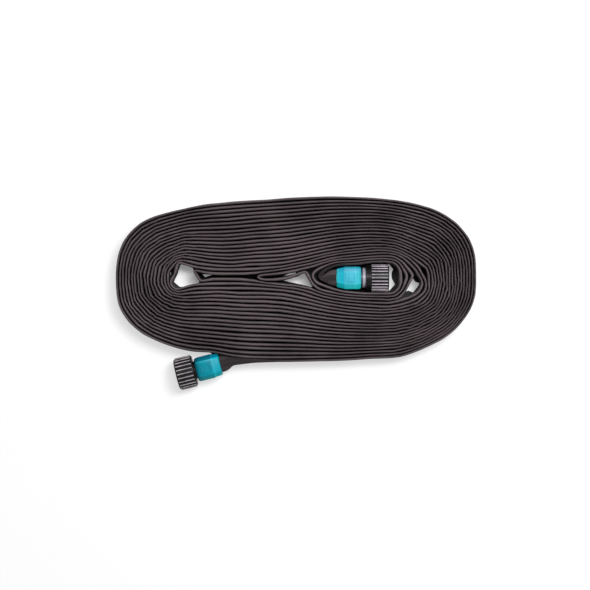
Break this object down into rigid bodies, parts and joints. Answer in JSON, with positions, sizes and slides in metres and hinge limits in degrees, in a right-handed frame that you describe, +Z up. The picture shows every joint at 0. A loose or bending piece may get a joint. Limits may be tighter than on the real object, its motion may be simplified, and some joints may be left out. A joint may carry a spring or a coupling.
{
  "type": "soaker hose",
  "caption": "Flat fabric soaker hose wound on edge into a long oval coil, with a swivel nut at one end and a capped hose thread at the other.",
  "frame": {"origin": "middle of the part's bounding box, on the surface it lies on", "axes": "+X along the length of the oval coil, towards the end where the screw cap points; +Y across the coil, away from the inlet fitting; +Z up"},
  "size_m": [0.3863, 0.2077, 0.035],
  "materials": {
    "hose_fabric": "matte",
    "liner_rubber": "satin",
    "inlet_collar_plastic": "satin",
    "outlet_collar_plastic": "satin",
    "black_plastic": "gloss",
    "pale_plastic": "satin",
    "seal_rubber": "matte"
  },
  "bodies": {
    "hose": {"hose_coil": "hose_fabric", "inlet_lead": "hose_fabric", "outlet_lead": "hose_fabric", "inlet_jacket_end": "hose_fabric", "inlet_liner_end": "liner_rubber", "inlet_collar_upper": "inlet_collar_plastic", "inlet_collar_lower": "inlet_collar_plastic", "inlet_tailpiece": "black_plastic", "inlet_washer": "seal_rubber", "flow_restrictor": "pale_plastic", "outlet_jacket_end": "hose_fabric", "outlet_liner_end": "liner_rubber", "outlet_collar_upper": "outlet_collar_plastic", "outlet_collar_lower": "outlet_collar_plastic", "outlet_tailpiece": "pale_plastic"},
    "nut": {"swivel_nut": "black_plastic"},
    "cap_slide": {"cap_washer": "seal_rubber"},
    "cap": {"end_cap": "black_plastic"}
  },
  "joints": [
    {"name": "nut_swivel", "type": "hinge", "parent": "hose", "child": "nut", "pos_m": [-0.11907, -0.08549, 0.0175], "axis": [-0.9703, -0.2419, 0], "continuous": true},
    {"name": "cap_travel", "type": "slide", "parent": "hose", "child": "cap_slide", "axis": [1, 0, 0], "range_m": [0, 0.00442]},
    {"name": "cap_turn", "type": "hinge", "parent": "cap_slide", "child": "cap", "pos_m": [0.087, 0.0163, 0.0147], "axis": [1, 0, 0], "range_deg": [0, 720]}
  ],
  "couplings": [
    {"joint": "cap_travel", "follows": "cap_turn", "m_per_rad": 0.00035153}
  ]
}
